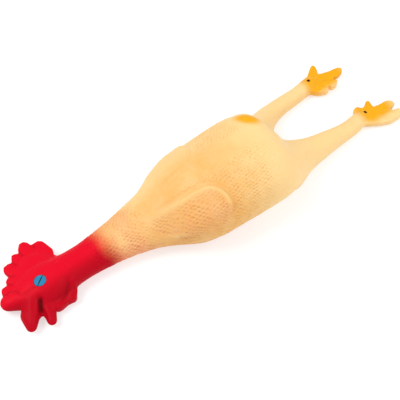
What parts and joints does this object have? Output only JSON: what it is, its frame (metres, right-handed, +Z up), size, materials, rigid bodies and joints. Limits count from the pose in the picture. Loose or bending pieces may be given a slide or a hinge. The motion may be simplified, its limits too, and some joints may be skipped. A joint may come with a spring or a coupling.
{
  "type": "rubber chicken",
  "caption": "Hollow latex plucked chicken lying on its belly, with a lobed comb, wattles, relief wings, splayed feet and a squeaker in its underside.",
  "frame": {"origin": "middle of the flat belly patch that the chicken rests on", "axes": "+X along the body from head to feet, +Y towards the comb side, +Z up from the surface"},
  "size_m": [0.4798, 0.1348, 0.0852],
  "materials": {
    "latex_yellow": "satin slip-cast latex, sprayed pale yellow",
    "latex_orange": "satin latex, sprayed orange",
    "latex_red": "satin latex, sprayed red",
    "eye_paint": "satin blue paint on latex",
    "squeaker_plastic": "natural moulded plastic",
    "reed_plastic": "thin clear film"
  },
  "bodies": {
    "trunk": {"torso_skin": "latex_yellow", "squeaker_socket": "latex_yellow", "left_wing": "latex_yellow", "right_wing": "latex_yellow", "tail_nub": "latex_orange", "squeaker_case": "squeaker_plastic", "squeaker_cap": "squeaker_plastic", "reed_block": "squeaker_plastic", "reed_wedge": "squeaker_plastic"},
    "back": {"back_panel": "latex_yellow"},
    "neck": {"neck_skin": "latex_yellow"},
    "head": {"head_skin": "latex_red", "comb": "latex_red", "beak": "latex_red", "wattles": "latex_red", "throat_fold": "latex_red", "left_eye": "eye_paint", "right_eye": "eye_paint"},
    "left_thigh": {"left_thigh": "latex_yellow"},
    "left_shank": {"left_shank": "latex_yellow"},
    "left_foot": {"left_foot": "latex_orange"},
    "right_thigh": {"right_thigh": "latex_yellow"},
    "right_shank": {"right_shank": "latex_yellow"},
    "right_foot": {"right_foot": "latex_orange"},
    "reed": {"reed": "reed_plastic"}
  },
  "joints": [
    {"name": "back_press", "type": "slide", "parent": "trunk", "child": "back", "axis": [0, 0, -1], "range_m": [0, 0.01], "stiffness_N_per_m": 350},
    {"name": "neck_swing", "type": "hinge", "parent": "trunk", "child": "neck", "pos_m": [-0.104, 0.0115, 0.018], "axis": [0, 0, 1], "range_deg": [-25, 25], "stiffness_Nm_per_rad": 0.3},
    {"name": "head_lift", "type": "hinge", "parent": "neck", "child": "head", "pos_m": [-0.16, 0.014, 0.0135], "axis": [0, 1, 0], "range_deg": [0, 35], "stiffness_Nm_per_rad": 0.3},
    {"name": "left_hip_splay", "type": "hinge", "parent": "trunk", "child": "left_thigh", "pos_m": [0.104, -0.019, 0.0175], "axis": [0, 0, -1], "range_deg": [-8, 25], "stiffness_Nm_per_rad": 0.3},
    {"name": "left_knee_lift", "type": "hinge", "parent": "left_thigh", "child": "left_shank", "pos_m": [0.136, -0.0175, 0.0118], "axis": [0, -1, 0], "range_deg": [0, 40], "stiffness_Nm_per_rad": 0.2},
    {"name": "left_ankle_lift", "type": "hinge", "parent": "left_shank", "child": "left_foot", "pos_m": [0.166, -0.0175, 0.0086], "axis": [0, -1, 0], "range_deg": [0, 35], "stiffness_Nm_per_rad": 0.12},
    {"name": "right_hip_splay", "type": "hinge", "parent": "trunk", "child": "right_thigh", "pos_m": [0.106, 0.0455, 0.0135], "axis": [0, 0, 1], "range_deg": [-8, 25], "stiffness_Nm_per_rad": 0.3},
    {"name": "right_knee_lift", "type": "hinge", "parent": "right_thigh", "child": "right_shank", "pos_m": [0.136, 0.0535, 0.0088], "axis": [0, -1, 0], "range_deg": [0, 40], "stiffness_Nm_per_rad": 0.2},
    {"name": "right_ankle_lift", "type": "hinge", "parent": "right_shank", "child": "right_foot", "pos_m": [0.164, 0.0555, 0.0078], "axis": [0, -1, 0], "range_deg": [0, 35], "stiffness_Nm_per_rad": 0.12},
    {"name": "reed_flutter", "type": "hinge", "parent": "trunk", "child": "reed", "pos_m": [0.0434, -0.005, 0.0065], "axis": [0, 1, 0], "range_deg": [0, 4], "stiffness_Nm_per_rad": 0.00002}
  ]
}
